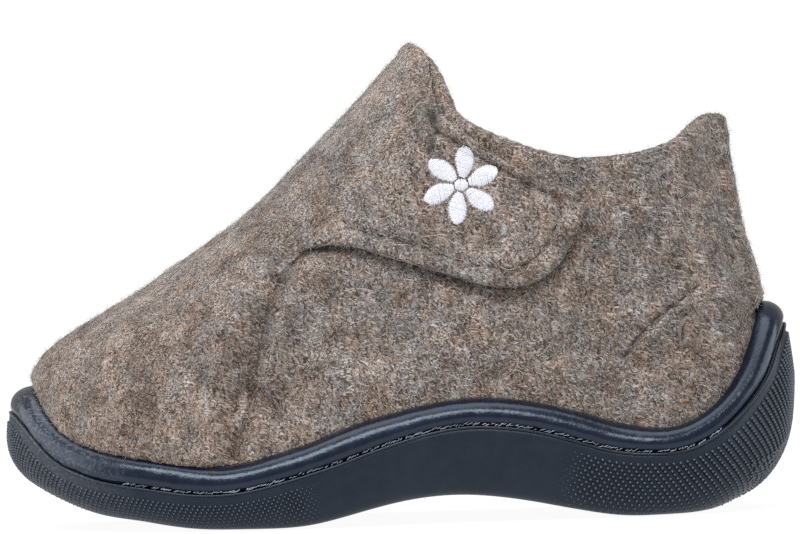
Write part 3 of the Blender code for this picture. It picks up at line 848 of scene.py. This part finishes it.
lipSpec = {"radius": 0.3, "sides": 6, "out": 0.02, "down": 0.22, "waver": [(0.15, 3.0, 21)]}
flash = {"step": 0.6, "sides": 5, "from": -56.0, "to": 64.0, "missing": 0.12, "waver": 0.06,
         "slant": 0.45, "slants": (0.5, 1.4), "high": 0.42, "highSpread": 0.1, "in": 0.22, "inSpread": 0.12,
         "length": 1.15, "lengths": (0.6, 1.3), "radius": 0.16, "radii": (0.55, 1.1),
         "taper": (0.8, 1, 0.75)}


def makeLip():
    out = wayOut(rimCurve)
    line = rimCurve + out * lipSpec["out"] - upward * lipSpec["down"]
    along, out = alongOf(line), wayOut(line)
    radius = lipSpec["radius"] * (1 + patches(line, lipSpec["waver"]))
    spoke = spokes(out, np.cross(out, along), lipSpec["sides"])
    rings = line[:, None] + spoke * radius[:, None, None]
    a = np.arange(len(line) * lipSpec["sides"]).reshape(len(line), -1)
    b, d = np.roll(a, -1, axis=1), np.roll(a, -1, axis=0)
    c = np.roll(b, -1, axis=0)
    triangles = np.stack([a, b, c, a, c, d], axis=-1).reshape(-1, 3)
    lip = meshFromArrays("soleLip", rings.reshape(-1, 3), triangles)
    editAll(lip, bpy.ops.mesh.normals_make_consistent, inside=False)
    return lip


def makeFlash():
    line = curveThrough(rim, flash["step"], closed=True)
    along, out = alongOf(line), wayOut(line)
    kept = (line[:, 0] > flash["from"]) & (line[:, 0] < flash["to"])
    kept &= chance.random(len(line)) > flash["missing"]
    line, out, along = line[kept], out[kept], along[kept]
    along *= np.sign(along[:, :1])
    one = (len(line), 1)
    slant = flash["slant"] * chance.uniform(*flash["slants"], one)
    middle = line + upward * (flash["high"] + flash["highSpread"] * chance.standard_normal(one))
    middle += out * (flash["inSpread"] * chance.standard_normal(one) - flash["in"])
    length = flash["length"] * chance.uniform(*flash["lengths"], one)
    steps = np.linspace(-0.5, 0.5, len(flash["taper"]) + 2)
    way = unit(along + upward * slant) * length
    paths = middle[:, None] + way[:, None] * steps[None, :, None]
    paths += chance.normal(0, flash["waver"], paths.shape)
    radii = flash["radius"] * chance.uniform(*flash["radii"], (len(line), len(flash["taper"])))
    return meshFromArrays("crackFlash", *tubes(paths, radii * flash["taper"], out, flash["sides"]))


soleKnurl = makeKnurl()
soleLip = makeLip()
crackFlash = makeFlash()
print("rubber details", [len(p.data.polygons) for p in (soleKnurl, soleLip, crackFlash)])


# Wool fibres that lie on the felt or stand off it, and loose hairs, in six shades

lying = {"density": 0.58, "points": 5, "length": (2.0, 6.2), "curl": 0.55, "lean": (0, 0), "root": 0,
         "high": (0.02, 0.14), "tips": -0.02, "radius": (0.019, 0.036), "paler": 0.0, "clearOfDart": 0.55}
# fuzz is made paler and mostly of the halo shade: painted light for the bright rim of fuzz at the outline
fuzz = {"density": 1.55, "points": 3, "length": (0.5, 1.4), "curl": 0.5, "lean": (0.3, 1.1), "root": 0.05,
        "radius": (0.018, 0.03), "paler": 0.5, "haloShare": 0.7}
hair = {"count": 290, "points": 9, "radius": 0.044, "above": 20, "high": 0.3, "tips": 0.05,
        "step": (0.4, 0.85), "bend": 0.22, "wander": 0.12}
# in the felt's painted shade fibres are fewer and picked darker, so the shade is painted on them too
fibre = {"sides": 3, "taper": 0.85, "bare": 0.85, "lightPull": 3.2, "creviceDark": 3.0}
view = {"lift": 0.25, "reach": 140, "buried": 5, "inside": 0.25}  # felt inside the collar has fewer fibres
shades = {  # colour and its variation, share at warm and cool places, pull to light ones, share of hairs
    "pale": {"colour": tone(186, 182, 178), "other": tone(164, 160, 156),
             "warm": 0.26, "cool": 0.27, "light": 0.6, "hairs": 0.2},
    "grey": {"colour": tone(152, 148, 147), "other": tone(118, 114, 114),
             "warm": 0.15, "cool": 0.32, "light": 0.2, "hairs": 0.06},
    "brown": {"colour": tone(121, 100, 88), "other": tone(95, 76, 66),
              "warm": 0.28, "cool": 0.15, "light": -0.2, "hairs": 0.04},
    "rust": {"colour": tone(144, 117, 100), "other": tone(122, 98, 84),
             "warm": 0.11, "cool": 0.03, "light": 0.0, "hairs": 0.14},
    "dark": {"colour": tone(48, 41, 38), "other": tone(30, 26, 25),
             "warm": 0.19, "cool": 0.22, "light": -0.7, "hairs": 0.06},
    # halo is pale as painted light for the bright fuzz at the outline; loose pale hairs use it too
    "halo": {"colour": tone(208, 204, 199), "other": tone(188, 183, 178),
             "warm": 0, "cool": 0, "light": 0.0, "hairs": 0.5},
}


def cornersOf(mesh):
    corners = placesOf(mesh)[trianglesOf(mesh)]
    cross = np.cross(corners[:, 1] - corners[:, 0], corners[:, 2] - corners[:, 0])
    return corners, unit(cross), np.linalg.norm(cross, axis=1) / 2


def showing(piece, surroundings):  # how much of each triangle's fibre is seen: all, some or none
    corners, normal, _ = cornersOf(piece.data)
    seen = np.ones(len(corners))
    starts = corners.mean(axis=1) + normal * view["lift"]
    for i, (start, way) in enumerate(zip(starts.tolist(), normal.tolist())):
        gap = surroundings.ray_cast(start, way, view["reach"])[3]
        if gap is not None:
            seen[i] = 0 if gap < view["buried"] else view["inside"]
    return seen


def scatter(piece, density):  # places, normals and fold shade, spread over a felt piece
    mesh = piece.data
    triangles = trianglesOf(mesh)
    corners, _, area = cornersOf(mesh)
    wanted = np.cumsum(area * density)
    count = int(wanted[-1])
    which = np.searchsorted(wanted, chance.random(count) * wanted[-1])
    a, b = np.sqrt(chance.random(count)), chance.random(count)
    share = np.stack([1 - a, a * (1 - b), a * b], axis=1)[:, :, None]
    smooth = normalsOf(mesh)[triangles[which]]
    creviceShade = numbersOf(mesh.attributes["creviceShade"].data, "value", 1)[triangles[which]]
    return [(found * share).sum(axis=1) for found in (corners[which], smooth, creviceShade)]


def fibrePaths(places, normals, kind):  # points along each fibre, from its root
    count, steps = len(places), kind["points"] - 1
    first = unit(np.cross(normals, unit(chance.standard_normal((count, 3)))))
    second = np.cross(normals, first)
    length = chance.uniform(*kind["length"], (count, 1))
    turn = chance.normal(0, kind["curl"], (count, 1))
    lean = chance.uniform(*kind["lean"], (count, 1))
    place = places - normals * kind["root"]
    path = [place]
    for k in range(steps):
        angle = turn * (k - (steps - 1) / 2)
        level = first * np.cos(angle) + second * np.sin(angle)
        place = place + (level * np.cos(lean) + normals * np.sin(lean)) * length / steps
        path.append(place)
    return np.stack(path, axis=1)


def layDown(paths, surface):  # draws fibres on to the felt, each point at its own small height
    rise = chance.uniform(*lying["high"], paths.shape[:2])
    rise[:, [0, -1]] = lying["tips"]
    for place, up in zip(paths.reshape(-1, 3), rise.ravel()):
        spot, normal, _, _ = surface.find_nearest(place)
        place[:] = np.array(spot) + np.array(normal) * up


def shadeOf(places, creviceShade, paler):  # picks each fibre's shade: warm and cool, light and dark patches, and darker ones in creases as painted shade
    warm, light = heather(places)
    light = paler + fibre["lightPull"] * (light - wool["light"]) - fibre["creviceDark"] * creviceShade
    shares = np.stack([s["cool"] + (s["warm"] - s["cool"]) * warm for s in shades.values()], axis=1)
    shares *= np.exp(np.outer(light, [s["light"] for s in shades.values()]))
    edges = np.cumsum(shares, axis=1) / shares.sum(axis=1, keepdims=True)
    return (chance.random((len(places), 1)) > edges).sum(axis=1)


def hairPaths(surface, places, normals):  # long loose hairs that follow the felt
    paths = []
    for place, normal in zip(places, normals):
        way = unit(np.cross(normal, chance.standard_normal(3)))
        step, bend = chance.uniform(*hair["step"]), chance.normal(0, hair["bend"])
        path = []
        for k in range(hair["points"]):
            spot, up, _, _ = surface.find_nearest(place)
            up = np.array(up)
            place = np.array(spot) + up * (hair["high"] if 0 < k < hair["points"] - 1 else hair["tips"])
            path.append(place)
            bend += chance.normal(0, hair["wander"])
            way = unit(way - up * (way @ up))
            way = way * math.cos(bend) + np.cross(up, way) * math.sin(bend)
            place = place + way * step
        paths.append(path)
    return np.array(paths)


def makeFibres():
    surroundings = surfaceOf(*feltPieces, outsoleRubber, weltRubber)
    surface = surfaceOf(*feltPieces)
    seen = [showing(p, surroundings) for p in feltPieces]
    strands = {name: [] for name in shades}

    def sortIn(paths, radii, lift, shade):  # adds tubes to the strands of their own shade
        for k, parts in enumerate(strands.values()):
            here = shade == k
            if here.any():
                parts.append(tubes(paths[here], radii[here], lift[here], fibre["sides"]))

    for kind in (lying, fuzz):
        found = [scatter(p, s * kind["density"]) for p, s in zip(feltPieces, seen)]
        places, normals, creviceShade = (np.concatenate(part) for part in zip(*found))
        kept = chance.random(len(places)) > fibre["bare"] * creviceShade[:, 0]
        places, normals, creviceShade = places[kept], unit(normals[kept]), creviceShade[kept, 0]
        paths = fibrePaths(places, normals, kind)
        if kind is lying:
            layDown(paths, surface)
            gap = gapTo("dart", paths[:, :, [0, 2]].reshape(-1, 2)).reshape(paths.shape[:2])
            clear = (gap.min(axis=1) >= lying["clearOfDart"]) | (places[:, 1] >= 0)
            paths, places, normals, creviceShade = paths[clear], places[clear], normals[clear], creviceShade[clear]
        taper = np.linspace(1, fibre["taper"], kind["points"] - 2)
        radii = chance.uniform(*kind["radius"], (len(paths), 1)) * taper
        shade = shadeOf(places, creviceShade, kind["paler"])
        if kind is fuzz:
            pale = chance.random(len(shade)) < fuzz["haloShare"] * (1 - creviceShade)
            shade[pale] = list(shades).index("halo")
        sortIn(paths, radii, normals, shade)
    rooted = chance.permutation(np.flatnonzero(places[:, 2] > hair["above"]))[: hair["count"]]
    paths = hairPaths(surface, places[rooted], normals[rooted])
    radii = np.full((len(paths), 1), hair["radius"])
    shade = chance.choice(len(shades), len(paths), p=[s["hairs"] for s in shades.values()])
    sortIn(paths, radii, normals[rooted], shade)
    made = []
    for name, parts in strands.items():
        piece = meshFromArrays(name + "Fibres", *joined(parts))
        material = strandMaterial(name + "Wool", woolLook, shades[name]["colour"], shades[name]["other"])
        made.append(finishPiece(piece, material))
    return made


fibres = makeFibres()
print("fibres", [len(p.data.polygons) for p in fibres])


# Thread: dark stitches along the strap and the heel dart, and a white satin-stitched flower on the strap

threadSides = 5
stitching = {"start": 0.5, "length": 2.5, "gap": 0.8, "radius": 0.15, "drift": 0.12, "waver": 0.1,
             "rise": [-0.35, 0.02, 0.12, 0.12, 0.02, -0.35],
             "sunk": {"stitchTop": 0.0, "stitchLow": 0.1, "dart": 0.0}}
flower = {"centre": (13.6, 66.6), "petals": 6, "turn": 0.35, "start": 1.7, "end": 7.9, "half": 2.25,
          "stub": 0.1, "skew": 1.25, "round": 0.6, "slant": 0.22, "heart": 1.35, "heartLap": 0.1,
          "spacing": 0.23, "uneven": 0.05, "points": 7, "radius": 0.18, "crown": 0.38, "fullWidth": 2,
          "puff": 0.6, "sunk": 0.12}
strays = {"radius": 0.065, "lift": 0.2, "paths": [  # an orange hair and bits of straw caught in the wool
    [(58.9, 55.0), (60.4, 55.5), (61.8, 55.3), (63.2, 54.9), (64.4, 54.1)],
    [(56.0, 22.1), (56.4, 22.3), (56.8, 22.4), (57.2, 22.4), (57.7, 22.2)],
    [(56.2, 22.5), (56.5, 22.6), (56.9, 22.6), (57.3, 22.7), (57.6, 22.6)],
]}


def onOuterSide(tree, flat, start=-120):  # places and normals where points of the side view lie on the felt
    found = [tree.ray_cast((x, start, z), (0, 1, 0)) for x, z in flat]
    return np.array([f[0] for f in found]), np.array([f[1] for f in found])


def threadPiece(name, paths, lifts, radius):
    return meshFromArrays(name, *tubes(np.array(paths), radius, np.array(lifts), threadSides))


def makeStitches():
    rise = np.array(stitching["rise"])
    along = np.linspace(0, stitching["length"], len(rise))
    paths, lifts = [], []
    for piece, name in ((vampFelt, "stitchTop"), (vampFelt, "stitchLow"), (upperFelt, "dart")):
        tree, line, reach = surfaceOf(piece), lines[name], reachOf(lines[name])
        end, step = reach[-1] - stitching["length"], stitching["length"] + stitching["gap"]
        for start in np.arange(stitching["start"], end, step):
            flat = sampled(start + along + chance.normal(0, stitching["drift"]), reach, line)
            places, normals = onOuterSide(tree, flat + chance.normal(0, stitching["waver"], 2))
            paths.append(places + normals * (rise - stitching["sunk"][name])[:, None])
            lifts.append(normals.mean(axis=0))
    return threadPiece("stitches", paths, lifts, stitching["radius"])


def flowerStrands():  # the strands' ends across each petal, in the side view
    centre, ends = np.array(flower["centre"]), []
    for petal in range(flower["petals"]):
        angle = flower["turn"] + petal * 2 * math.pi / flower["petals"]
        axis = np.array([math.cos(angle), math.sin(angle)])
        cross = np.array([-axis[1], axis[0]])
        for reach in np.arange(flower["start"], flower["end"], flower["spacing"]):
            share = (reach - flower["start"]) / (flower["end"] - flower["start"])
            share = min(share * (1 - flower["stub"]) + flower["stub"], 1)
            half = flower["half"] * math.sin(math.pi * share ** flower["skew"]) ** flower["round"]
            strandHalf = cross * half + axis * flower["slant"] * half
            ends.append((centre + axis * reach - strandHalf, centre + axis * reach + strandHalf))
    for across in np.arange(-flower["heart"], flower["heart"], flower["spacing"]):
        half = math.sqrt(flower["heart"] ** 2 - across**2) + flower["heartLap"]
        ends.append((centre + (across, -half), centre + (across, half)))
    return np.array(ends)


def makeFlower():
    tree = surfaceOf(vampFelt)
    share = np.linspace(0, 1, flower["points"])
    rise = (4 * share * (1 - share)) ** flower["puff"]
    ends = flowerStrands()
    ends += chance.normal(0, flower["uneven"], ends.shape)
    paths, lifts = [], []
    for start, end in ends:
        places, normals = onOuterSide(tree, start + (end - start) * share[:, None])
        crown = flower["crown"] * min(np.linalg.norm(end - start) / flower["fullWidth"], 1)
        lifts.append(normals.mean(axis=0))
        paths.append(places + lifts[-1] * (crown * rise - flower["sunk"])[:, None])
    return threadPiece("strapFlower", paths, lifts, flower["radius"])


def makeStrays():
    tree = surfaceOf(upperFelt)
    found = [onOuterSide(tree, flat) for flat in strays["paths"]]
    lifts = [normals.mean(axis=0) for _, normals in found]
    paths = [places + normals * strays["lift"] for places, normals in found]
    return threadPiece("strayHairs", paths, lifts, strays["radius"])


stitches = makeStitches()
strapFlower = makeFlower()
strayHairs = makeStrays()
print("thread", [len(p.data.polygons) for p in (stitches, strapFlower, strayHairs)])


# Each piece with its material and the CAD node it stands for

feltSurface = feltMaterial("heatheredFelt", felt)
insoleSurface = feltMaterial("insoleFelt", insoleLook)
soleSurface = rubberMaterial("soleRubber", soleLook)
knurlSurface = rubberMaterial("knurlRubber", knurlLook)
weltSurface = rubberMaterial("weltRubber", weltLook)
flashSurface = rubberMaterial("trimmedRubber", flashLook)
stitchSurface = strandMaterial("darkThread", threadLook, tone(30, 25, 22), tone(52, 44, 38))
flowerSurface = strandMaterial("whiteThread", threadLook, tone(232, 233, 240), tone(208, 210, 220))
straySurface = strandMaterial("strayStraw", threadLook, tone(204, 152, 104), tone(180, 128, 88))

finishPiece(upperFelt, feltSurface, "upper")
finishPiece(vampFelt, feltSurface, "vamp_strap")
finishPiece(stripFelt, feltSurface, "heel_strip")
finishPiece(insoleFelt, insoleSurface, "insole")
finishPiece(outsoleRubber, soleSurface, "outsole")
finishPiece(weltRubber, weltSurface, "welt")
finishPiece(soleKnurl, knurlSurface)
finishPiece(soleLip, weltSurface)
finishPiece(crackFlash, flashSurface)
finishPiece(stitches, stitchSurface)
finishPiece(strapFlower, flowerSurface)
finishPiece(strayHairs, straySurface)
print("looks ready")


# Camera, light and floor

cameraSpec = {"distance": 1000, "across": 1.0, "height": 50.75, "roll": 1.85, "frameWidth": 162.16,
              "sensor": 36, "clip": 20}


def makeCamera():
    data = bpy.data.cameras.new("camera")
    data.sensor_width = cameraSpec["sensor"]
    data.lens = cameraSpec["sensor"] * cameraSpec["distance"] / cameraSpec["frameWidth"]
    data.clip_end = cameraSpec["clip"]
    camera = addObject("camera", data)
    camera.location = (cameraSpec["across"] * mm, -cameraSpec["distance"] * mm, cameraSpec["height"] * mm)
    camera.rotation_euler = (math.radians(90), math.radians(cameraSpec["roll"]), 0)
    bpy.context.scene.camera = camera


lights = {  # place, size and strength of each soft box, all aimed at the slipper
    "strip": {"place": (-0.2, -0.72, 0.78), "size": (1.3, 0.26), "power": 10},
    "overhead": {"place": (-0.05, -0.1, 1.3), "size": (1.2, 0.9), "power": 8.5},
    "toeCard": {"place": (-0.95, 0.0, 0.25), "size": (0.9, 0.8), "power": 5, "glossOnly": True},
    "heelCard": {"place": (0.95, -0.1, 0.25), "size": (0.9, 0.8), "power": 6, "glossOnly": True},
}
lightAim = Vector((0, 0, 0.04))
backdrop = {"colour": (1, 1, 1, 1), "seen": 1.0, "lighting": 0.38}  # white to the camera, dimmer as a light


def makeLights():
    for name, spec in lights.items():
        data = bpy.data.lights.new(name, "AREA")
        data.shape = "RECTANGLE"
        data.size, data.size_y = spec["size"]
        data.energy = spec["power"]
        lamp = addObject(name, data)
        lamp.location = spec["place"]
        lamp.visible_diffuse = not spec.get("glossOnly")  # the cards only shine on the rubber
        lamp.rotation_euler = (lightAim - Vector(spec["place"])).to_track_quat("-Z", "Y").to_euler()
    world = bpy.data.worlds.new("studio")
    world.use_nodes = True
    sky = world.node_tree.nodes["Background"]
    sky.inputs["Color"].default_value = backdrop["colour"]
    seen = Wire(world.node_tree).node("LightPath", out="Is Camera Ray")
    feed(sky, "Strength", backdrop["lighting"] + seen * (backdrop["seen"] - backdrop["lighting"]))
    bpy.context.scene.world = world


floorSpec = {"half": 3.0, "below": 0.2, "matt": 0.9, "specular": 0.0, "glow": 0.95,
             "glowColour": (1, 1, 1, 1), "cloudSize": 90, "tones": (0.1152, 0.12)}


def makeFloor():
    bpy.ops.object.select_all(action="DESELECT")
    bpy.ops.mesh.primitive_plane_add(size=2 * floorSpec["half"], location=(0, 0, -floorSpec["below"] * mm))
    floor = bpy.context.object
    floor.name = "floor"
    material, shader, wire = newMaterial("paleFloor", floorSpec)
    cloud = wire.grain(wire.node("TexCoord", out="Object"), floorSpec["cloudSize"])
    feed(shader, "Base Color", cloud.blend(*[(t, t, t, 1) for t in floorSpec["tones"]]))
    floor.data.materials.append(material)


makeCamera()
makeLights()
makeFloor()
bpy.context.scene.view_settings.view_transform = "Standard"
bpy.context.scene.cycles.use_denoising = False  # it would wipe out the fibres
print("stage ready")
